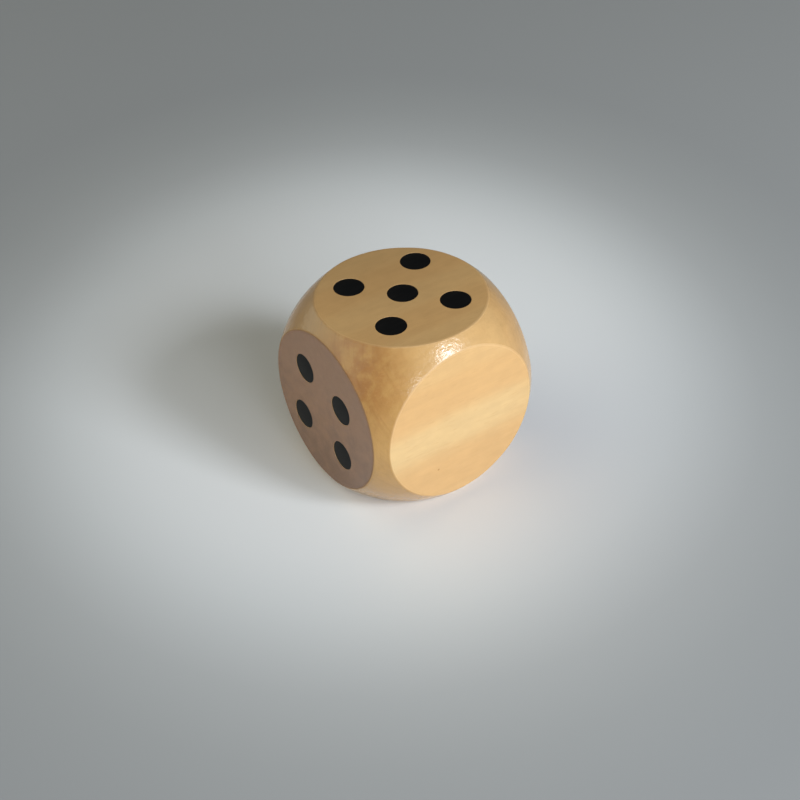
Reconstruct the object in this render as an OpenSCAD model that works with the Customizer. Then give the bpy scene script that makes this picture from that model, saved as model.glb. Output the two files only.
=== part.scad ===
// Wooden die: a cube of pale hardwood whose corners are cut back to a ball, which leaves six
// round flats. The pips are stamped: each is a film of black ink in a shallow pressed seat.
//
// Frame: the origin is the centre of the flat that the die stands on, and +Z is up. The four
// faces the front (-Y), the five is on top (+Z) and the blank face is on the right (+X).
// The wood's fibres run along Y, so the front and the back are end grain.

/* [Body] */
// Distance between two opposite flats
edge = 40; // [38:0.5:60]
// Diameter of the circle where a flat would meet the ball if its rim were sharp
flat_d = 35.2; // [33:0.1:36]
// Radius of the softened rim round each flat
rim_r = 0.8; // [0.4:0.1:2]

/* [Pips] */
// Diameter of a pip
pip_d = 6.4; // [4:0.1:7]
// Side of the square that the corner pips sit on
pip_pitch = 16.1; // [14:0.1:16.5]
// The same side on the face with four pips, which has a tighter print
four_pitch = 13.1; // [10:0.1:16]
// Thickness of the ink film
ink_t = 0.15; // [0.05:0.05:0.4]
// How far the ink lies below its flat
ink_sunk = 0.05; // [0.05:0.05:0.3]

/* [Print register] */
// Turn of the five's print on its flat, in degrees
five_turn = -3.2; // [-10:0.1:10]
// Shift of the five's print from the middle of its flat
five_shift = [-0.5, 0.7]; // [-1:0.1:1]
// Turn of the four's print on its flat, in degrees
four_turn = -7.9; // [-12:0.1:12]
// Shift of the four's print from the middle of its flat
four_shift = [-0.6, -0.9]; // [-1.5:0.1:1.5]

/* [Hidden] */
$fn = 128;

half = edge / 2;
ball_r = norm([edge, flat_d]) / 2;
seat_depth = ink_sunk + ink_t;
cut_past = 1;

// The rim's arc meets the flat and the ball at this slight angle and not tangentially, so that
// the surfaces cross cleanly.
rim_meet = 5;
rim_z = half - rim_r * cos(rim_meet);
rim_reach = sqrt(ball_r^2 + rim_r^2 - 2 * ball_r * rim_r * cos(rim_meet));
// Centre of the rim's arc, as distance from the flat's axis and height above the ball's centre
rim_centre = [sqrt(rim_reach^2 - rim_z^2), rim_z];

// The pips are stamped one by one, so each lands a little off its place: across and up, in the
// order of pip_grid.
even_miss = [for (pip = [1:6]) [0, 0]];
four_miss = [[-0.3, 0.3], [0.9, 0.3], [-0.3, 0.3], [-0.3, -0.9]];
five_miss = [[0, 0], [-0.3, 0.3], [0.3, 0.1], [0.1, 0.1], [0, -0.5]];

// One row per face: pips, turn from the top of the die, pitch, then turn, shift and misses of the print
BLANK = [0, [90, 0, 90], pip_pitch, 0, [0, 0], even_miss];
TWO = [2, [180, 0, 0], pip_pitch, 0, [0, 0], even_miss];
THREE = [3, [90, 0, 180], pip_pitch, 0, [0, 0], even_miss];
FOUR = [4, [90, 0, 0], four_pitch, four_turn, four_shift, four_miss];
FIVE = [5, [0, 0, 0], pip_pitch, five_turn, five_shift, five_miss];
SIX = [6, [90, 0, 270], pip_pitch, 0, [0, 0], even_miss];
FACES = [BLANK, TWO, THREE, FOUR, FIVE, SIX];

// Places for a number of pips, in half pitches: an odd number has one in the middle, two or more
// have one diagonal, four or more have both, and six adds the middles of two sides.
function pip_grid(count) = concat(
    count % 2 == 1 ? [[0, 0]] : [],
    count > 1 ? [[-1, 1], [1, -1]] : [],
    count > 3 ? [[-1, -1], [1, 1]] : [],
    count > 5 ? [[-1, 0], [1, 0]] : []
);

// Middles of a face's pips, before its print is turned and shifted.
function pip_middles(face) = let (grid = pip_grid(face[0]))
    [for (pip = [0 : 1 : len(grid) - 1]) grid[pip] * face[2] / 2 + face[5][pip]];

// Puts its children on a face: z = 0 is the flat, and z points out of the wood.
module on_face(face) {
    translate([0, 0, half]) rotate(face[1]) translate([0, 0, half]) children();
}

// Puts its children at each pip of a face.
module at_pips(face) {
    on_face(face) translate(face[4]) rotate(face[3])
        for (middle = pip_middles(face)) translate(middle) children();
}

// The ring of wood outside the rim's arc, where a flat meets the ball.
module rim_waste() {
    up = [0, 1];
    out = rim_centre / norm(rim_centre);
    reach = 2 * rim_r;
    translate([0, 0, -half]) rotate_extrude() difference() {
        polygon([for (step = [[0, 0], up, up + out, out]) rim_centre + reach * step]);
        translate(rim_centre) circle(rim_r);
    }
}

module ink(face) {
    color("black") at_pips(face) translate([0, 0, -seat_depth]) cylinder(d = pip_d, h = ink_t);
}

module body() {
    color("burlywood") difference() {
        translate([0, 0, half]) intersection() {
            sphere(r = ball_r);
            cube(edge, center = true);
        }
        for (face = FACES) {
            on_face(face) rim_waste();
            at_pips(face) translate([0, 0, -seat_depth]) cylinder(d = pip_d, h = seat_depth + cut_past);
        }
    }
}

module pips_two() ink(TWO);
module pips_three() ink(THREE);
module pips_four() ink(FOUR);
module pips_five() ink(FIVE);
module pips_six() ink(SIX);

body();
pips_two();
pips_three();
pips_four();
pips_five();
pips_six();
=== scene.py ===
"""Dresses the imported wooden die: a lacquered hardwood block with black stamped pips.

The block is rebuilt round the CAD solid with soft rims and a slightly uneven ball surface, and
each face's ink is rebuilt as thin films in their seats. Lengths are millimetres until a mesh or
a lamp is made, and metres from there on.
"""

import logging
import math
from collections.abc import Callable, Sequence
from dataclasses import dataclass, field
from enum import Enum
from functools import partial
from typing import Any, NamedTuple

import bmesh
import bpy
from mathutils import Euler, Matrix, Vector, noise

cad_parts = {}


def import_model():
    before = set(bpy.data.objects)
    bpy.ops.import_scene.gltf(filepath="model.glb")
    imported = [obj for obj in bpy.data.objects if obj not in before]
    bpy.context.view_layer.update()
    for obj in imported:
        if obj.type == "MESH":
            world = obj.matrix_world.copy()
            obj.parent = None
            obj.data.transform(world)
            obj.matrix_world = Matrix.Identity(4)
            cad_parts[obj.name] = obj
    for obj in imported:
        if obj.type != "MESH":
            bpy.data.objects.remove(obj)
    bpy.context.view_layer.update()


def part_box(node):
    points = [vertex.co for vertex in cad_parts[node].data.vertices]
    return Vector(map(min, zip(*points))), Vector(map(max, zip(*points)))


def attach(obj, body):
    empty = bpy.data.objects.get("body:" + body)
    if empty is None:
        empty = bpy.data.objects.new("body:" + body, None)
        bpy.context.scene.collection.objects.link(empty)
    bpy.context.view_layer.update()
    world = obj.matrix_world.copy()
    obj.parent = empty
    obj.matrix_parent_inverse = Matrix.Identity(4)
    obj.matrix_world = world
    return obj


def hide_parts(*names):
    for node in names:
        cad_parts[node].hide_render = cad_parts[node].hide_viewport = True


LOG = logging.getLogger("wooden_die")
MM = 0.001
BODY = "root"
UP = Vector((0.0, 0.0, 1.0))
SMOOTH = {"interpolation_type": "SMOOTHSTEP"}

Place = tuple[float, float, float]
Span = tuple[float, float]
Source = bpy.types.Node | bpy.types.NodeSocket
AddNode = Callable[..., bpy.types.Node]
Ring = dict[bmesh.types.BMVert, int]


class Slot(Enum):
    """The record's material slots."""

    WOOD = "wood"
    INK = "ink"


class Face(Enum):
    """The six flats: the pips on each, and its turn from the top of the die, in degrees."""

    BLANK = (0, (90.0, 0.0, 90.0))
    TWO = (2, (180.0, 0.0, 0.0))
    THREE = (3, (90.0, 0.0, 180.0))
    FOUR = (4, (90.0, 0.0, 0.0))
    FIVE = (5, (0.0, 0.0, 0.0))
    SIX = (6, (90.0, 0.0, 270.0))

    @property
    def pips(self) -> int:
        """Number of pips on the face."""
        return self.value[0]

    @property
    def turn(self) -> Matrix:
        """Rotation that carries the top of the die onto this face."""
        return Euler([math.radians(angle) for angle in self.value[1]]).to_matrix().to_4x4()

    @property
    def node(self) -> str:
        """Name of the CAD node that holds this face's ink."""
        return f"pips_{self.name.lower()}"

    def places(self) -> list[tuple[int, int]]:
        """Lists the pips' places on the face, in half pitches.

        Returns:
            One (across, up) pair for each pip.
        """
        rows = [(0, 0)] if self.pips % 2 else []
        rows += [(-1, 1), (1, -1)] if self.pips > 1 else []
        rows += [(-1, -1), (1, 1)] if self.pips > 3 else []
        rows += [(-1, 0), (1, 0)] if self.pips > 5 else []
        return rows


# Small tools -------------------------------------------------------------------------------


def linear(code: str) -> tuple[float, float, float, float]:
    """Turns an sRGB colour into the linear one that a shader wants.

    Args:
        code: The colour as six hex digits after a hash sign.

    Returns:
        Red, green, blue and an alpha of one.
    """
    parts = [int(code[at : at + 2], 16) / 255 for at in (1, 3, 5)]
    red, green, blue = [c / 12.92 if c <= 0.04045 else ((c + 0.055) / 1.055) ** 2.4 for c in parts]
    return red, green, blue, 1.0


def toward(azimuth: float, elevation: float) -> Vector:
    """Gives the direction of something seen from the die.

    Args:
        azimuth: Degrees round from +X towards +Y.
        elevation: Degrees up from level.

    Returns:
        A unit vector.
    """
    turned, raised = math.radians(azimuth), math.radians(elevation)
    level = math.cos(raised)
    return Vector((level * math.cos(turned), level * math.sin(turned), math.sin(raised)))


def add_node(
    tree: bpy.types.NodeTree, kind: str, inputs: dict[str, Any] | Sequence[Any] = (), **settings: Any
) -> bpy.types.Node:
    """Adds a node with its settings and fills its inputs.

    Args:
        tree: The node tree that gets the node.
        kind: The node's type, without its ShaderNode prefix.
        inputs: Values by input name, or a row of them for the inputs that the settings leave in
            use. A socket is linked, a node is linked by its first output in use, and any other
            value is set.
        **settings: Properties of the node itself.

    Returns:
        The new node.
    """
    made = tree.nodes.new(f"ShaderNode{kind}")
    for name, value in settings.items():
        setattr(made, name, value)
    if isinstance(inputs, dict):
        filled = [(made.inputs[name], value) for name, value in inputs.items()]
    else:
        filled = zip([socket for socket in made.inputs if socket.enabled], inputs)
    for socket, value in filled:
        if isinstance(value, bpy.types.Node):
            value = next(output for output in value.outputs if output.enabled)
        if isinstance(value, bpy.types.NodeSocket):
            tree.links.new(value, socket)
        else:
            socket.default_value = value
    return made


def new_material(name: str) -> tuple[bpy.types.Material, AddNode]:
    """Makes an empty node material.

    Args:
        name: The material's name.

    Returns:
        The material, and add_node for its tree.
    """
    material = bpy.data.materials.new(name)
    material.use_nodes = True
    material.node_tree.nodes.clear()
    return material, partial(add_node, material.node_tree)


def new_object(name: str, data: bpy.types.ID) -> bpy.types.Object:
    """Puts a mesh, a camera or a lamp into the scene.

    Args:
        name: The object's name.
        data: The mesh, camera or lamp.

    Returns:
        The new object, at the origin.
    """
    made = bpy.data.objects.new(name, data)
    bpy.context.scene.collection.objects.link(made)
    return made


def new_piece(name: str, mesh: bmesh.types.BMesh, material: bpy.types.Material) -> bpy.types.Object:
    """Turns a finished bmesh in metres into an object.

    Args:
        name: The object's name.
        mesh: Its shape; it is freed here.
        material: Its finish.

    Returns:
        The new object, at the origin.
    """
    data = bpy.data.meshes.new(name)
    mesh.to_mesh(data)
    mesh.free()
    data.materials.append(material)
    return new_object(name, data)


def die_piece(
    name: str, mesh: bmesh.types.BMesh, material: bpy.types.Material
) -> bpy.types.Object:
    """Turns a finished bmesh in millimetres into a smooth piece that rides on the die.

    Args:
        name: The piece's name.
        mesh: Its shape in the row frame; it is freed here.
        material: Its finish.

    Returns:
        The new object, at the origin.
    """
    bmesh.ops.scale(mesh, vec=Vector((MM, MM, MM)), verts=mesh.verts)
    piece = new_piece(name, mesh, material)
    piece.data.polygons.foreach_set("use_smooth", [True] * len(piece.data.polygons))
    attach(piece, BODY)
    LOG.info("%s: %d faces", name, len(piece.data.polygons))
    return piece


# Finishes ----------------------------------------------------------------------------------


class Ramp(NamedTuple):
    """A smooth change over some measure: where it starts and ends, and the value at each end."""

    start: float
    end: float
    first: float
    last: float


class Grain(NamedTuple):
    """Noise drawn out along the fibres: a streak's width, its length in widths, and finer octaves."""

    width_mm: float
    stretch: float
    octaves: float


@dataclass(frozen=True)
class Spot:
    """What the wood's patterns read at a spot of its surface.

    Attributes:
        place: The place, in millimetres.
        bent: The same place after the grain's gentle bend.
        across: How steeply the surface cuts the fibres: 0 beside them, 1 at their ends.
        off_flat: How far the place lies below the nearest flat, in millimetres.
        on_ball: 0 on the flats and 1 on the ball.
        clouds: Cloudy noise about 0.5.
        fibres: Fine streaks about 0.5.
    """

    place: bpy.types.Node
    bent: bpy.types.Node
    across: bpy.types.Node
    off_flat: bpy.types.Node
    on_ball: bpy.types.Node
    clouds: bpy.types.Node
    fibres: bpy.types.Node


@dataclass(frozen=True)
class LacqueredWood:
    """Pale close-grained hardwood, turned and sanded, then dipped in clear lacquer.

    The eye sees broad quiet bands of growth and short fine fibres that run along Y. Where the
    ball cuts across the fibres, the wood drinks more lacquer: it turns deeper and shows its
    layers as thin lines. The flats were sanded after dipping, so only the ball keeps the full
    top coat. Lengths are millimetres in the row frame.
    """

    # Half the distance between two opposite flats
    half: float

    sapwood: str = "#BE9561"
    light_band: str = "#C3A270"
    deep_cut: str = "#AC834B"
    end_grain: str = "#8F674A"
    # Painted shade: the end grain's colour near the foot, darkened where less light reaches
    end_grain_foot_shade: str = "#79563F"
    heart: str = "#936538"
    layer_line: str = "#845428"
    fibre_line: str = "#B08856"

    # The tree: its pith outside the block, the ways across its fibres, its bands and its bends
    pith: Place = (-65.5, 0.0, -37.3)
    crosswise: Place = (1.0, 0.0, 1.0)
    band_mm: float = 10.0
    bend_wave: Place = (22.0, 60.0, 22.0)
    bend_octaves: float = 2.0
    bend_mm: Place = (4.0, 0.0, 4.0)

    # Noises. Real fibres are a tenth as wide, and these are as coarse as they need to be to show.
    fibres: Grain = Grain(0.28, 9.0, 3.0)
    streaks: Grain = Grain(2.6, 8.0, 2.5)
    feather: Grain = Grain(1.4, 5.0, 2.0)
    patches: Grain = Grain(2.5, 2.0, 1.0)
    clouds: Grain = Grain(3.0, 1.0, 3.0)
    ripple: Grain = Grain(0.9, 1.3, 2.0)
    noise_roughness: float = 0.55

    # Over the distance below the nearest flat
    onto_ball: Ramp = Ramp(-0.02, 0.15, 0.0, 1.0)
    shade: Ramp = Ramp(-0.02, 0.15, 0.79, 1.02)
    top_coat: Ramp = Ramp(0.1, 0.35, 0.0, 0.3)
    rim_begins: Ramp = Ramp(0.0, 0.02, 0.0, 1.0)
    rim_dulls: Ramp = Ramp(0.24, 0.1, 0.0, 0.38)
    ripple_grows: Ramp = Ramp(0.0, 0.06, 0.1, 1.0)

    # Over how steeply the surface cuts the fibres
    cut_deepens: Ramp = Ramp(0.08, 0.62, 0.1, 0.95)
    ends_show: Ramp = Ramp(0.8, 0.99, 0.0, 0.95)
    layers_show: Ramp = Ramp(0.2, 0.5, 0.0, 1.0)

    # Over the distance from the thirsty corner, the brown heart, a pin mark and the shaded corner
    deep_at: Place = (4.0, -20.0, 25.0)
    deep_fades: Ramp = Ramp(24.0, 36.0, 1.0, 0.2)
    heart_at: Place = (10.5, -19.5, 34.5)
    heart_fills: Ramp = Ramp(15.0, 3.0, 0.0, 1.0)
    layers_fade: Ramp = Ramp(17.0, 5.0, 0.1, 0.3)
    pin_at: Place = (20.0, -5.9, 10.3)
    pin_fills: Ramp = Ramp(0.32, 0.12, 0.0, 0.6)
    shade_at: Place = (-24.0, 4.0, 42.0)
    shade_reach: Span = (6.0, 40.0)

    # Over a noise, or a noise added to another measure
    bands_show: Ramp = Ramp(0.6, 1.6, 0.0, 0.28)
    heart_clouds: Ramp = Ramp(0.35, 0.62, 0.3, 0.95)
    cloud_tone: Ramp = Ramp(0.3, 0.7, 0.98, 1.02)
    feather_tone: Ramp = Ramp(0.3, 0.7, 0.972, 1.028)
    fibres_show: Ramp = Ramp(0.52, 0.72, 0.0, 1.0)
    patches_show: Ramp = Ramp(0.4, 0.6, 0.05, 0.32)
    layers_darken: Ramp = Ramp(0.45, 0.75, 0.0, 1.0)
    lacquer_roughness: Ramp = Ramp(0.3, 0.7, 0.19, 0.27)

    # Over the height, which blotches shift on the end grain; darker towards the foot is painted shade
    foot_painted_shade: Ramp = Ramp(-34.0, 34.0, 0.72, 1.03)
    blotch_mm: float = 34.0
    ends_lighten: Ramp = Ramp(18.0, 43.0, 0.0, 1.0)

    # One broad pale streak, as half sizes, with its edge in shares of them
    streak_at: Place = (22.0, -10.0, 18.7)
    streak_size: Place = (14.0, 55.0, 6.0)
    streak_fray: float = 0.6
    streak_edge: Ramp = Ramp(1.45, 0.6, 0.0, 0.92)

    # Growth layers on the cross cuts, and how little they change along the other ways
    layer_mm: float = 0.75
    layer_run: Span = (0.1, 0.14)
    layer_octaves: float = 2.0
    layer_wriggle: float = 0.5

    # The lacquer, and how deep its ripple and the fibres are
    lacquer_ior: float = 1.5
    top_coat_roughness: float = 0.17
    ripple_depth: float = 0.08
    fibre_depth: float = 0.01

    def material(self) -> bpy.types.Material:
        """Builds the material.

        Returns:
            A material that reads Object coordinates and the piece's own normals.
        """
        material, add = new_material("lacquered_hardwood")
        spot = self._read_spot(add)
        colour = self._end_grain(add, spot, self._cross_cut(add, spot, self._beside_grain(add, spot)))
        browned = self._heart(add, spot, colour)
        toned = add("VectorMath", (browned, self._tone(add, spot)), operation="SCALE")
        lined = self._pin(add, spot, self._layer_lines(add, spot, self._fibre_lines(add, spot, toned)))
        relief = self._relief(add, spot)
        shader = add(
            "BsdfPrincipled",
            {
                "Base Color": lined,
                "Roughness": self._gloss(add, spot),
                "IOR": self.lacquer_ior,
                "Normal": relief,
                "Coat Weight": add("MapRange", (spot.off_flat, *self.top_coat), **SMOOTH),
                "Coat Roughness": self.top_coat_roughness,
                "Coat IOR": self.lacquer_ior,
                "Coat Normal": relief,
            },
        )
        add("OutputMaterial", (shader,))
        return material

    def _read_spot(self, add: AddNode) -> Spot:
        """Adds the nodes that the patterns share.

        Args:
            add: Adds a node to the material.

        Returns:
            What the patterns read.
        """
        surface = add("TexCoord")
        place = add("VectorMath", (surface.outputs["Object"], 1 / MM), operation="SCALE")
        normal = add("SeparateXYZ", (surface.outputs["Normal"],))
        bent = self._bend(add, place)
        off_flat = self._off_flat(add, place)
        return Spot(
            place=place,
            bent=bent,
            across=add("Math", (normal.outputs["Y"],), operation="ABSOLUTE"),
            off_flat=off_flat,
            on_ball=add("MapRange", (off_flat, *self.onto_ball), **SMOOTH),
            clouds=self._noise(add, place, self.clouds),
            fibres=self._noise(add, bent, self.fibres),
        )

    def _bend(self, add: AddNode, place: Source) -> bpy.types.Node:
        """Bends the grain gently, as no tree is straight.

        Args:
            add: Adds a node to the material.
            place: The place in millimetres.

        Returns:
            The bent place.
        """
        waves = tuple(1 / wave for wave in self.bend_wave)
        slow = add("VectorMath", (place, waves), operation="MULTIPLY")
        drift = add("TexNoise", {"Vector": slow, "Scale": 1.0, "Detail": self.bend_octaves})
        centred = add("VectorMath", (drift.outputs["Color"], (0.5, 0.5, 0.5)), operation="SUBTRACT")
        return add("VectorMath", (centred, self.bend_mm, place), operation="MULTIPLY_ADD")

    def _off_flat(self, add: AddNode, place: Source) -> bpy.types.Node:
        """Measures how far a place lies below the nearest flat.

        Args:
            add: Adds a node to the material.
            place: The place in millimetres.

        Returns:
            The distance in millimetres.
        """
        from_middle = add("VectorMath", (place, (0.0, 0.0, self.half)), operation="SUBTRACT")
        size = add("VectorMath", (from_middle,), operation="ABSOLUTE")
        split = add("SeparateXYZ", (size,))
        wide = add("Math", (split.outputs["X"], split.outputs["Y"]), operation="MAXIMUM")
        most = add("Math", (wide, split.outputs["Z"]), operation="MAXIMUM")
        return add("Math", (self.half, most), operation="SUBTRACT")

    def _noise(self, add: AddNode, place: Source, grain: Grain) -> bpy.types.Node:
        """Draws noise drawn out along the fibres.

        Args:
            add: Adds a node to the material.
            place: The place in millimetres.
            grain: The noise's width, stretch and octaves.

        Returns:
            A value about 0.5.
        """
        scale = (1 / grain.width_mm, 1 / (grain.width_mm * grain.stretch), 1 / grain.width_mm)
        drawn = add("VectorMath", (place, scale), operation="MULTIPLY")
        fields = {"Scale": 1.0, "Detail": grain.octaves, "Roughness": self.noise_roughness}
        return add("TexNoise", {"Vector": drawn, **fields})

    def _from_pith(self, add: AddNode, spot: Spot) -> bpy.types.Node:
        """Measures how far a spot lies from the line of the tree's pith.

        Args:
            add: Adds a node to the material.
            spot: What the patterns read.

        Returns:
            The distance in millimetres.
        """
        away = add("VectorMath", (spot.bent, self.pith), operation="SUBTRACT")
        level = add("VectorMath", (away, self.crosswise), operation="MULTIPLY")
        return add("VectorMath", (level,), operation="LENGTH")

    def _beside_grain(self, add: AddNode, spot: Spot) -> bpy.types.Node:
        """Colours the wood beside its fibres: faint growth bands and one broad pale streak.

        Args:
            add: Adds a node to the material.
            spot: What the patterns read.

        Returns:
            The colour.
        """
        turns = add("Math", (self._from_pith(add, spot), math.tau / self.band_mm), operation="MULTIPLY")
        wave = add("Math", (turns,), operation="SINE")
        rings = add("MapRange", (wave, -1.0, 1.0, 0.0, 1.0), **SMOOTH)
        streaks = self._noise(add, spot.bent, self.streaks)
        drawn = add("Math", (rings, streaks), operation="ADD")
        faint = add("MapRange", (drawn, *self.bands_show), **SMOOTH)
        pale = add("Math", (faint, self._streak(add, spot, streaks)), operation="MAXIMUM")
        return add("Mix", (pale, linear(self.sapwood), linear(self.light_band)), data_type="RGBA")

    def _streak(self, add: AddNode, spot: Spot, streaks: Source) -> bpy.types.Node:
        """Draws the broad pale streak, long along the fibres and ragged at its edges.

        Args:
            add: Adds a node to the material.
            spot: What the patterns read.
            streaks: Noise about 0.5 that frays the edges.

        Returns:
            A share that is 0 outside the streak and highest in its middle.
        """
        from_middle = add("VectorMath", (spot.place, self.streak_at), operation="SUBTRACT")
        shrunk = add("VectorMath", (from_middle, self.streak_size), operation="DIVIDE")
        far = add("VectorMath", (shrunk,), operation="LENGTH")
        fray = add("Math", (streaks, self.streak_fray), operation="MULTIPLY")
        frayed = add("Math", (fray, far), operation="ADD")
        return add("MapRange", (frayed, *self.streak_edge), **SMOOTH)

    def _cross_cut(self, add: AddNode, spot: Spot, colour: Source) -> bpy.types.Node:
        """Deepens the wood where the ball cuts across the fibres, most of all at the thirsty corner.

        Args:
            add: Adds a node to the material.
            spot: What the patterns read.
            colour: The wood beside its fibres.

        Returns:
            The colour.
        """
        far = add("VectorMath", (spot.place, self.deep_at), operation="DISTANCE")
        thirst = add("MapRange", (far, *self.deep_fades), **SMOOTH)
        steep = add("MapRange", (spot.across, *self.cut_deepens), **SMOOTH)
        thirsty = add("Math", (spot.on_ball, thirst), operation="MULTIPLY")
        deep = add("Math", (thirsty, steep), operation="MULTIPLY")
        return add("Mix", (deep, colour, linear(self.deep_cut)), data_type="RGBA")

    def _end_grain(self, add: AddNode, spot: Spot, colour: Source) -> bpy.types.Node:
        """Browns the two ends of the fibres, in blotches, with painted shade darker towards the foot.

        Args:
            add: Adds a node to the material.
            spot: What the patterns read.
            colour: The colour so far.

        Returns:
            The colour.
        """
        split = add("SeparateXYZ", (spot.place,))
        # Painted shade: end grain darker towards the foot, its edge shifted by the blotches
        blotched = add("Math", (spot.clouds, self.blotch_mm, split.outputs["Z"]), operation="MULTIPLY_ADD")
        lightness = add("MapRange", (blotched, *self.ends_lighten), **SMOOTH)
        ends = add("Mix", (lightness, linear(self.end_grain_foot_shade), linear(self.end_grain)), data_type="RGBA")
        share = add("MapRange", (spot.across, *self.ends_show), **SMOOTH)
        return add("Mix", (share, colour, ends), data_type="RGBA")

    def _heart(self, add: AddNode, spot: Spot, colour: Source) -> bpy.types.Node:
        """Adds the cloudy brown heartwood that the ball cuts into at one corner.

        Args:
            add: Adds a node to the material.
            spot: What the patterns read.
            colour: The colour so far.

        Returns:
            The colour.
        """
        far = add("VectorMath", (spot.place, self.heart_at), operation="DISTANCE")
        near = add("MapRange", (far, *self.heart_fills), **SMOOTH)
        cloudy = add("MapRange", (spot.clouds, *self.heart_clouds), **SMOOTH)
        heart = add("Math", (near, cloudy), operation="MULTIPLY")
        share = add("Math", (heart, spot.on_ball), operation="MULTIPLY")
        return add("Mix", (share, colour, linear(self.heart)), data_type="RGBA")

    def _tone(self, add: AddNode, spot: Spot) -> bpy.types.Node:
        """Varies how light the wood is: painted shade darker towards the foot, darker at one corner, and
        mottled all over.

        Args:
            add: Adds a node to the material.
            spot: What the patterns read.

        Returns:
            A factor about 1.
        """
        split = add("SeparateXYZ", (spot.place,))
        # Painted shade: the wood darkens towards the foot, where less light reaches it
        low = add("MapRange", (split.outputs["Z"], *self.foot_painted_shade), **SMOOTH)
        shade = add("MapRange", (spot.off_flat, *self.shade), **SMOOTH)
        far = add("VectorMath", (spot.place, self.shade_at), operation="DISTANCE")
        corner = add("MapRange", (far, *self.shade_reach, shade, 1.0), **SMOOTH)
        feather = self._noise(add, spot.bent, self.feather)
        feathered = add("MapRange", (feather, *self.feather_tone), **SMOOTH)
        cloudy = add("MapRange", (spot.clouds, *self.cloud_tone), **SMOOTH)
        mottle = add("Math", (feathered, cloudy), operation="MULTIPLY")
        broad = add("Math", (low, corner), operation="MULTIPLY")
        return add("Math", (broad, mottle), operation="MULTIPLY")

    def _fibre_lines(self, add: AddNode, spot: Spot, colour: Source) -> bpy.types.Node:
        """Draws the short thin fibres, which show in patches.

        Args:
            add: Adds a node to the material.
            spot: What the patterns read.
            colour: The colour so far.

        Returns:
            The colour.
        """
        thin = add("MapRange", (spot.fibres, *self.fibres_show), **SMOOTH)
        patches = self._noise(add, spot.place, self.patches)
        patchy = add("MapRange", (patches, *self.patches_show), **SMOOTH)
        share = add("Math", (thin, patchy), operation="MULTIPLY")
        return add("Mix", (share, colour, linear(self.fibre_line)), data_type="RGBA")

    def _layer_lines(self, add: AddNode, spot: Spot, colour: Source) -> bpy.types.Node:
        """Draws the growth layers as thin brown lines where the ball cuts them near the heart.

        Args:
            add: Adds a node to the material.
            spot: What the patterns read.
            colour: The colour so far.

        Returns:
            The colour.
        """
        split = add("SeparateXYZ", (spot.bent,))
        ways = (self._from_pith(add, spot), split.outputs["Y"], split.outputs["X"])
        spread = [
            add("Math", (way, factor), operation="MULTIPLY")
            for way, factor in zip(ways, (1 / self.layer_mm, *self.layer_run))
        ]
        fields = {"Scale": 1.0, "Detail": self.layer_octaves, "Distortion": self.layer_wriggle}
        layers = add("TexNoise", {"Vector": add("CombineXYZ", spread), **fields})
        dark = add("MapRange", (layers, *self.layers_darken), **SMOOTH)
        steep = add("MapRange", (spot.across, *self.layers_show), **SMOOTH)
        far = add("VectorMath", (spot.place, self.heart_at), operation="DISTANCE")
        near = add("MapRange", (far, *self.layers_fade), **SMOOTH)
        cut = add("Math", (steep, near), operation="MULTIPLY")
        cut_lines = add("Math", (dark, cut), operation="MULTIPLY")
        share = add("Math", (cut_lines, spot.on_ball), operation="MULTIPLY")
        return add("Mix", (share, colour, linear(self.layer_line)), data_type="RGBA")

    def _pin(self, add: AddNode, spot: Spot, colour: Source) -> bpy.types.Node:
        """Draws one dark pin mark in the blank face.

        Args:
            add: Adds a node to the material.
            spot: What the patterns read.
            colour: The colour so far.

        Returns:
            The colour.
        """
        far = add("VectorMath", (spot.place, self.pin_at), operation="DISTANCE")
        share = add("MapRange", (far, *self.pin_fills), **SMOOTH)
        return add("Mix", (share, colour, linear(self.layer_line)), data_type="RGBA")

    def _gloss(self, add: AddNode, spot: Spot) -> bpy.types.Node:
        """Makes the lacquer duller over the fibres and on the rims, where it runs thin.

        Args:
            add: Adds a node to the material.
            spot: What the patterns read.

        Returns:
            The roughness.
        """
        skin = add("MapRange", (spot.fibres, *self.lacquer_roughness), **SMOOTH)
        inner = add("MapRange", (spot.off_flat, *self.rim_begins), **SMOOTH)
        outer = add("MapRange", (spot.off_flat, *self.rim_dulls), **SMOOTH)
        rim = add("Math", (inner, outer), operation="MULTIPLY")
        return add("Math", (skin, rim), operation="ADD")

    def _relief(self, add: AddNode, spot: Spot) -> bpy.types.Node:
        """Gives the lacquer its ripple, which the flats have lost, with the fibres showing through.

        Args:
            add: Adds a node to the material.
            spot: What the patterns read.

        Returns:
            The normal.
        """
        waves = self._noise(add, spot.place, self.ripple)
        grown = add("MapRange", (spot.off_flat, *self.ripple_grows), **SMOOTH)
        ripple = add("Math", (waves, grown), operation="MULTIPLY")
        lacquer = add("Bump", {"Height": ripple, "Distance": self.ripple_depth * MM})
        fibres = {"Height": spot.fibres, "Distance": self.fibre_depth * MM}
        return add("Bump", {**fibres, "Normal": lacquer})


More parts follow.
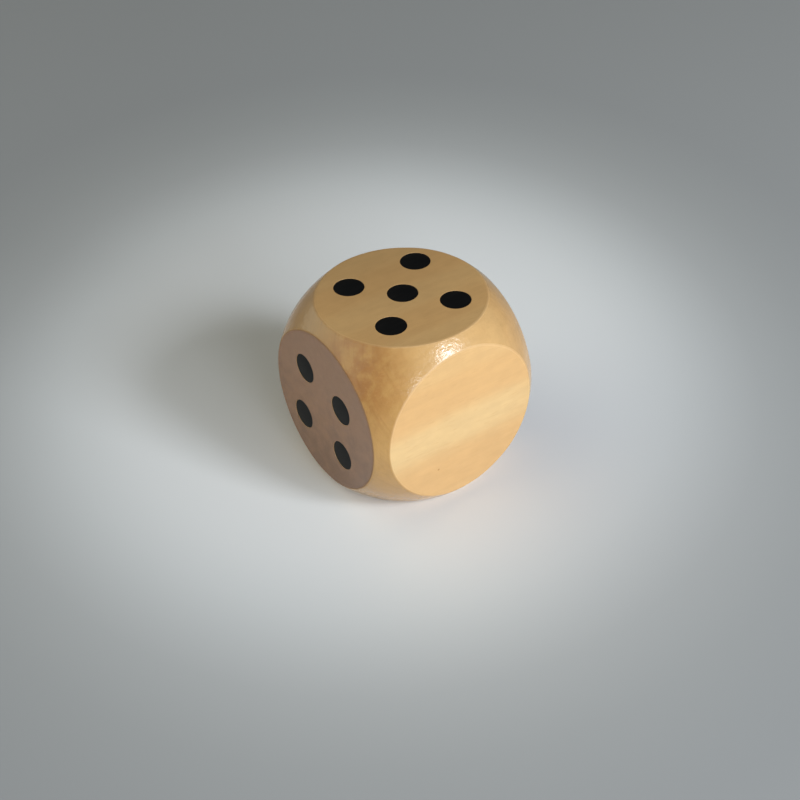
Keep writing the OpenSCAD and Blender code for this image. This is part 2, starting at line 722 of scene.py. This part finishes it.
@dataclass(frozen=True)
class StampedInk:
    """Black printing ink, stamped onto the wood.

    The eye sees a nearly flat black with a satin skin that keeps a trace of the grain. A thin dry
    film shines less than a solid block of ink, so its IOR is low.
    """

    black: str = "#060607"
    thin: str = "#0E0D0D"
    thin_from: Span = (0.5, 0.75)
    ior: float = 1.25
    roughness: Span = (0.45, 0.6)
    fibre_mm: float = 0.5
    fibre_stretch: float = 14.0
    fibre_octaves: float = 3.0
    relief_mm: float = 0.01

    def material(self) -> bpy.types.Material:
        """Builds the material.

        Returns:
            A material that reads Object coordinates only.
        """
        material, add = new_material("stamped_black_ink")
        scale = 1 / (MM * self.fibre_mm)
        stretch = (scale, scale / self.fibre_stretch, scale)
        along = add("VectorMath", (add("TexCoord").outputs["Object"], stretch), operation="MULTIPLY")
        grain = add("TexNoise", {"Vector": along, "Scale": 1.0, "Detail": self.fibre_octaves})
        share = add("MapRange", (grain, *self.thin_from, 0.0, 1.0))
        shader = add(
            "BsdfPrincipled",
            {
                "Base Color": add("Mix", (share, linear(self.black), linear(self.thin)), data_type="RGBA"),
                "Roughness": add("MapRange", (grain, 0.0, 1.0, *self.roughness)),
                "IOR": self.ior,
                "Normal": add("Bump", {"Height": grain, "Distance": self.relief_mm * MM}),
            },
        )
        add("OutputMaterial", (shader,))
        return material


@dataclass(frozen=True)
class BoardWithPaintedLightPool:
    """Wooden board with matt emulsion paint, rolled on, and a painted pool of light in its colour.

    The eye sees it pale round the die and greyer further out: painted light, a pool of light and its
    falloff painted into the board's colour.
    """

    # Painted light: the middle, half sizes and turn of the pool of light painted into the board's colour
    pool_at: Span = (-30.0, 10.0)
    pool_mm: Span = (144.0, 125.0)
    pool_turn: float = 150.0
    # Painted light: the board's colour from the pool's middle outwards, pale where lit and greyer where
    # the light falls off
    pool: tuple[tuple[float, str], ...] = (
        (0.0, "#E4E4E4"),
        (0.35, "#E4E4E4"),
        (0.46, "#DDDDDD"),
        (0.55, "#CFD0D0"),
        (0.63, "#BEBFBF"),
        (0.71, "#AEAFAF"),
        (0.83, "#A1A2A2"),
        (1.0, "#98999A"),
    )
    roughness: float = 0.6

    def material(self) -> bpy.types.Material:
        """Builds the material.

        Returns:
            A matt material that reads Object coordinates only.
        """
        material, add = new_material("board_paint_and_painted_light")
        pool = {
            "Vector": add("TexCoord").outputs["Object"],
            "Location": (self.pool_at[0] * MM, self.pool_at[1] * MM, 0.0),
            "Rotation": (0.0, 0.0, math.radians(self.pool_turn)),
            "Scale": (self.pool_mm[0] * MM, self.pool_mm[1] * MM, 1.0),
        }
        inside = add("Mapping", pool, vector_type="TEXTURE")
        # Painted light: the pool of light and its falloff, painted into the base colour
        ramp = add("ValToRGB", (add("VectorMath", (inside,), operation="LENGTH"),))
        ramp.color_ramp.interpolation = "B_SPLINE"
        stops = ramp.color_ramp.elements
        stops.remove(stops[1])
        stops[0].position, stops[0].color = self.pool[0][0], linear(self.pool[0][1])
        for position, code in self.pool[1:]:
            stops.new(position).color = linear(code)
        shader = add("BsdfPrincipled", {"Base Color": ramp, "Roughness": self.roughness})
        add("OutputMaterial", (shader,))
        return material


# The die -----------------------------------------------------------------------------------


@dataclass(frozen=True)
class Print:
    """Where a face's pips lie: the side of their square, its turn and shift, and each one's miss."""

    pitch: float = 16.1
    turn: float = 0.0
    shift: Span = (0.0, 0.0)
    misses: tuple[Span, ...] = ((0.0, 0.0),) * 6

    def centres(self, face: Face) -> list[Vector]:
        """Works out the pips' middles on the top of a die.

        Args:
            face: The face that the print is on.

        Returns:
            Points with z = 0, in millimetres.
        """
        turned = Matrix.Rotation(math.radians(self.turn), 4, "Z")
        shift = Vector((*self.shift, 0.0))
        centres = []
        for place, miss in zip(face.places(), self.misses):
            stamped = Vector((*place, 0.0)) * (self.pitch / 2) + Vector((*miss, 0.0))
            centres.append(turned @ stamped + shift)
        return centres


PRINTS = {
    Face.BLANK: Print(),
    Face.TWO: Print(),
    Face.THREE: Print(),
    Face.FOUR: Print(
        pitch=13.1,
        turn=-7.9,
        shift=(-0.6, -0.9),
        misses=((-0.3, 0.3), (0.9, 0.3), (-0.3, 0.3), (-0.3, -0.9)),
    ),
    Face.FIVE: Print(
        turn=-3.2,
        shift=(-0.5, 0.7),
        misses=((0.0, 0.0), (-0.3, 0.3), (0.3, 0.1), (0.1, 0.1), (0.0, -0.5)),
    ),
    Face.SIX: Print(),
}


@dataclass(frozen=True)
class Pip:
    """One pip, in millimetres: its radius, its seat's depth and how far its ink lies below the flat."""

    radius: float = 3.2
    seat_depth: float = 0.2
    sunk: float = 0.05
    sides: int = 72


@dataclass
class Block:
    """The wooden block: six round flats with soft rims on a ball that is a little out of true.

    Lengths are millimetres. The lip is the soft edge of a pip's seat, and the border is the even
    strip of flat inside the rim and round each seat. The sway is how far the ball strays from true,
    over waves of the given length, with a share of finer ones.
    """

    half: float
    finish: LacqueredWood
    flat_r: float = 17.6
    rim_r: float = 0.8
    pip: Pip = field(default_factory=Pip)
    lip: float = 0.03
    border: float = 0.15
    around: int = 256
    rim_rings: int = 7
    ball_rings: int = 10
    lip_rings: int = 3
    sway: float = 0.10
    sway_wave: float = 11.0
    fine_share: float = 0.35
    fine_waves: float = 3.1
    weld: float = 0.001

    @property
    def ball_r(self) -> float:
        """Radius of the ball that the corners are turned to."""
        return math.hypot(self.half, self.flat_r)

    def reach(self, direction: Vector) -> float:
        """Gives the ball's own radius in a direction, uneven from turning and sanding by hand.

        Args:
            direction: A unit vector from the middle of the block.

        Returns:
            The radius in millimetres.
        """
        spot = direction * (self.ball_r / self.sway_wave)
        fine = self.fine_share * noise.noise(spot * self.fine_waves)
        return self.ball_r + self.sway * (noise.noise(spot) + fine)

    def _meridian(self, turn: Matrix, angle: float) -> list[Vector]:
        """Runs one line from the flat over the rim and down the ball to the next face's share.

        Args:
            turn: Rotation from the top to the face.
            angle: Angle of the line round the face's axis.

        Returns:
            Points in the block's frame, from the flat outwards.
        """
        out = Vector((math.cos(angle), math.sin(angle), 0.0))
        sharp = (out * self.flat_r + UP * self.half).normalized()
        ball_r = self.reach(turn @ sharp)
        arc_z = self.half - self.rim_r
        arc_x = math.sqrt((ball_r - self.rim_r) ** 2 - arc_z**2)
        start = math.atan2(arc_x, arc_z)
        centre = out * arc_x + UP * arc_z
        points = []
        for ring in range(self.rim_rings + 1):
            lean = start * ring / self.rim_rings
            points.append(turn @ (centre + (out * math.sin(lean) + UP * math.cos(lean)) * self.rim_r))
        stop = math.atan2(1.0, max(abs(out.x), abs(out.y)))
        for ring in range(1, self.ball_rings + 1):
            lean = start + (stop - start) * ring / self.ball_rings
            way = turn @ (out * math.sin(lean) + UP * math.cos(lean))
            points.append(way * self.reach(way))
        return points

    def _ring_edges(self, ring: Ring) -> list[bmesh.types.BMEdge]:
        """Lists the edges whose two ends are both on a ring."""
        edges = dict.fromkeys(edge for vert in ring for edge in vert.link_edges)
        return [edge for edge in edges if all(end in ring for end in edge.verts)]

    def _grow(self, mesh: bmesh.types.BMesh, ring: Ring, points: list[Vector]) -> Ring:
        """Extrudes an open ring and sets the new ring's places.

        Args:
            mesh: The mesh that holds the ring.
            ring: The ring's vertices, each with its number round the ring.
            points: The new ring's places, by number.

        Returns:
            The new ring.
        """
        grown = bmesh.ops.extrude_edge_only(mesh, edges=self._ring_edges(ring))["geom"]
        made = {}
        for vert in (item for item in grown if isinstance(item, bmesh.types.BMVert)):
            others = [edge.other_vert(vert) for edge in vert.link_edges]
            made[vert] = next(ring[other] for other in others if other in ring)
            vert.co = points[made[vert]]
        return made

    def _circle(self, mesh: bmesh.types.BMesh, points: list[Vector]) -> Ring:
        """Starts a closed ring at given places.

        Args:
            mesh: The mesh that gets the ring.
            points: Its places in order.

        Returns:
            The ring's vertices, each with its number round the ring.
        """
        verts = bmesh.ops.create_circle(mesh, cap_ends=False, radius=1.0, segments=len(points))["verts"]
        for vert, point in zip(verts, points):
            vert.co = point
        return {vert: number for number, vert in enumerate(verts)}

    def _skirt(self, mesh: bmesh.types.BMesh, face: Face) -> Ring:
        """Extrudes one face's rim and its share of the ball, ring by ring.

        Args:
            mesh: The block so far.
            face: The face.

        Returns:
            The ring that bounds the flat.
        """
        lines = [self._meridian(face.turn, math.tau * step / self.around) for step in range(self.around)]
        rings = [list(points) for points in zip(*lines)]
        first = ring = self._circle(mesh, rings[0])
        for points in rings[1:]:
            ring = self._grow(mesh, ring, points)
        return first

    def _seat(self, mesh: bmesh.types.BMesh, face: Face, centre: Vector) -> Ring:
        """Sinks one pip's seat, with a soft lip.

        Args:
            mesh: The block so far.
            face: The face.
            centre: The pip's middle on the top of a die.

        Returns:
            The ring on the flat round the seat.
        """
        profile = [(self.pip.radius + self.lip + self.border, 0.0)]
        for step in range(self.lip_rings + 1):
            lean = math.radians(90 * step / self.lip_rings)
            out, down = self.lip * (1 - math.sin(lean)), self.lip * (1 - math.cos(lean))
            profile.append((self.pip.radius + out, -down))
        profile.append((self.pip.radius, -self.pip.seat_depth))
        first = ring = self._circle(mesh, self._seat_ring(face, centre, *profile[0]))
        for radius, height in profile[1:]:
            ring = self._grow(mesh, ring, self._seat_ring(face, centre, radius, height))
        bmesh.ops.contextual_create(mesh, geom=list(ring))
        return first

    def _seat_ring(self, face: Face, centre: Vector, radius: float, height: float) -> list[Vector]:
        """Places one ring of a seat.

        Args:
            face: The face.
            centre: The pip's middle on the top of a die.
            radius: The ring's radius.
            height: Its height above the flat.

        Returns:
            Its points in order, in the block's frame.
        """
        points = []
        for side in range(self.pip.sides):
            angle = math.tau * side / self.pip.sides
            spoke = Vector((radius * math.cos(angle), radius * math.sin(angle), self.half + height))
            points.append(face.turn @ (centre + spoke))
        return points

    def _flat(self, mesh: bmesh.types.BMesh, face: Face, rim: Ring) -> None:
        """Fills one flat inside its rim and round its pips' seats.

        Args:
            mesh: The block so far.
            face: The face.
            rim: The ring that bounds the flat.
        """
        middle = face.turn @ (UP * self.half)
        inward = [Vector()] * len(rim)
        for vert, number in rim.items():
            away = vert.co - middle
            inward[number] = middle + away * (1 - self.border / away.length)
        rings = [self._grow(mesh, rim, inward)]
        rings += [self._seat(mesh, face, centre) for centre in PRINTS[face].centres(face)]
        bmesh.ops.triangle_fill(
            mesh,
            use_beauty=True,
            use_dissolve=False,
            edges=[edge for ring in rings for edge in self._ring_edges(ring)],
            normal=face.turn.to_3x3() @ UP,
        )

    def build(self) -> bpy.types.Object:
        """Models the block and puts it in the place of the CAD solid.

        Returns:
            The block's object.
        """
        mesh = bmesh.new()
        for face in Face:
            self._flat(mesh, face, self._skirt(mesh, face))
        bmesh.ops.remove_doubles(mesh, verts=mesh.verts, dist=self.weld)
        bmesh.ops.recalc_face_normals(mesh, faces=mesh.faces)
        bmesh.ops.translate(mesh, vec=UP * self.half, verts=mesh.verts)
        piece = die_piece("block", mesh, self.finish.material())
        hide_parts("body")
        return piece


@dataclass
class Ink:
    """The ink of one face: a thin film in each seat, rounded at its edge."""

    face: Face
    half: float
    pip: Pip = field(default_factory=Pip)
    edge_r: float = 0.05
    edge_rings: int = 4

    def build(self, finish: bpy.types.Material) -> bpy.types.Object:
        """Models the face's films and puts them in the place of the CAD solids.

        Args:
            finish: The ink.

        Returns:
            The object that holds the face's films.
        """
        mesh = bmesh.new()
        for centre in PRINTS[self.face].centres(self.face):
            self._film(mesh, centre)
        bmesh.ops.recalc_face_normals(mesh, faces=mesh.faces)
        bmesh.ops.transform(mesh, matrix=self.face.turn, verts=mesh.verts)
        bmesh.ops.translate(mesh, vec=UP * self.half, verts=mesh.verts)
        piece = die_piece(f"ink_{self.face.name.lower()}", mesh, finish)
        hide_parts(self.face.node)
        return piece

    def _film(self, mesh: bmesh.types.BMesh, centre: Vector) -> None:
        """Makes one film on the top of a die.

        Args:
            mesh: The films so far.
            centre: The pip's middle.
        """
        pip = self.pip
        made = bmesh.ops.create_circle(mesh, cap_ends=True, radius=pip.radius, segments=pip.sides)["verts"]
        floor = made[0].link_faces[0]
        top = bmesh.ops.extrude_face_region(mesh, geom=[floor], use_keep_orig=True)["geom"]
        raised = [item for item in top if isinstance(item, bmesh.types.BMVert)]
        bmesh.ops.translate(mesh, vec=UP * (pip.seat_depth - pip.sunk), verts=raised)
        brink = [item for item in top if isinstance(item, bmesh.types.BMEdge)]
        rounded = bmesh.ops.bevel(
            mesh,
            geom=brink,
            offset=self.edge_r,
            offset_type="OFFSET",
            affect="EDGES",
            segments=self.edge_rings,
            profile=0.5,
            material=-1,
        )
        film = {vert for vert in made + raised + rounded["verts"] if vert.is_valid}
        bmesh.ops.translate(mesh, vec=centre + UP * (self.half - pip.seat_depth), verts=list(film))


# The studio --------------------------------------------------------------------------------


@dataclass(frozen=True)
class Viewpoint:
    """The camera: its place and lens in millimetres, and the way it looks in degrees."""

    place: Place = (236.4, -161.0, 238.0)
    azimuth: float = 55.95
    elevation: float = 38.18
    roll: float = -2.14
    sensor: float = 36.0
    lens: float = 77.33
    clip: Span = (10.0, 50000.0)

    def build(self) -> None:
        """Adds the camera and makes it the scene's own."""
        data = bpy.data.cameras.new("camera")
        data.sensor_width = self.sensor
        data.lens = self.lens
        data.clip_start, data.clip_end = (distance * MM for distance in self.clip)
        camera = new_object("camera", data)
        turns = ((self.azimuth, "Z"), (90 - self.elevation, "X"), (self.roll, "Z"))
        heading, pitch, roll = (Matrix.Rotation(math.radians(angle), 4, axis) for angle, axis in turns)
        camera.matrix_world = Matrix.Translation(Vector(self.place) * MM) @ (heading @ pitch @ roll)
        bpy.context.scene.camera = camera


@dataclass(frozen=True)
class Lamp:
    """A soft rectangular lamp that faces the die, with its size and distance in metres."""

    name: str
    azimuth: float
    elevation: float
    distance: float
    size: Span
    power: float
    tint: str

    def build(self, target: Vector) -> None:
        """Adds the lamp.

        Args:
            target: The point that it faces, in metres.
        """
        data = bpy.data.lights.new(self.name, "AREA")
        data.shape = "RECTANGLE"
        data.size, data.size_y = self.size
        data.energy = self.power
        data.color = linear(self.tint)[:3]
        lamp = new_object(self.name, data)
        way = toward(self.azimuth, self.elevation)
        aim = way.to_track_quat("Z", "Y").to_matrix().to_4x4()
        lamp.matrix_world = Matrix.Translation(target + way * self.distance) @ aim


@dataclass(frozen=True)
class Studio:
    """A pale board, a small window, a bright wall low beside it, and a dim room with one pale side.

    Lengths are metres, the pale side is its azimuth and elevation in degrees, and its edge is the
    cosines between which the room turns from dim to pale.
    """

    target: Vector
    board_size: float = 12.0
    board_gap: float = 0.00002
    board: BoardWithPaintedLightPool = field(default_factory=BoardWithPaintedLightPool)
    lamps: tuple[Lamp, ...] = (
        Lamp("window", 19.7, 35.4, 0.8, (0.19, 0.19), 3.54, "#EEF6FF"),
        Lamp("bright_wall", 1.5, 13.5, 1.2, (1.02, 0.6), 19.0, "#EEF6FF"),
    )
    dim_room: str = "#3C3C3D"
    pale_room: str = "#FEFFEE"
    strength: float = 1.3
    pale_side: Span = (229.0, 20.0)
    pale_edge: Span = (0.45, 0.97)

    def build(self) -> None:
        """Adds the board, the lamps and the world."""
        self._board()
        for lamp in self.lamps:
            lamp.build(self.target)
        self._room()
        bpy.context.scene.view_settings.view_transform = "Standard"

    def _board(self) -> None:
        """Lays the board that the die stands on."""
        mesh = bmesh.new()
        bmesh.ops.create_grid(mesh, x_segments=1, y_segments=1, size=self.board_size / 2)
        bmesh.ops.translate(mesh, vec=UP * -self.board_gap, verts=mesh.verts)
        board = new_piece("board", mesh, self.board.material())

    def _room(self) -> None:
        """Lights the die from the room, which is dim but for its pale side."""
        world = bpy.data.worlds.new("room")
        world.use_nodes = True
        world.node_tree.nodes.clear()
        add = partial(add_node, world.node_tree)
        way = add("TexCoord").outputs["Generated"]
        facing = add("VectorMath", (way, toward(*self.pale_side)), operation="DOT_PRODUCT")
        share = add("MapRange", (facing, *self.pale_edge, 0.0, 1.0), **SMOOTH)
        tone = add("Mix", (share, linear(self.dim_room), linear(self.pale_room)), data_type="RGBA")
        add("OutputWorld", (add("Background", (tone, self.strength)),))
        bpy.context.scene.world = world


def main() -> None:
    """Builds the camera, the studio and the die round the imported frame."""
    logging.basicConfig(level=logging.INFO, format="%(name)s: %(message)s")
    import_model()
    low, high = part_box("body")
    half = (high.z - low.z) / 2 / MM
    Viewpoint().build()
    Studio(target=UP * half * MM).build()
    Block(half=half, finish=LacqueredWood(half=half)).build()
    ink = StampedInk().material()
    for face in Face:
        if face.pips:
            Ink(face=face, half=half).build(ink)


if __name__ == "__main__":
    main()
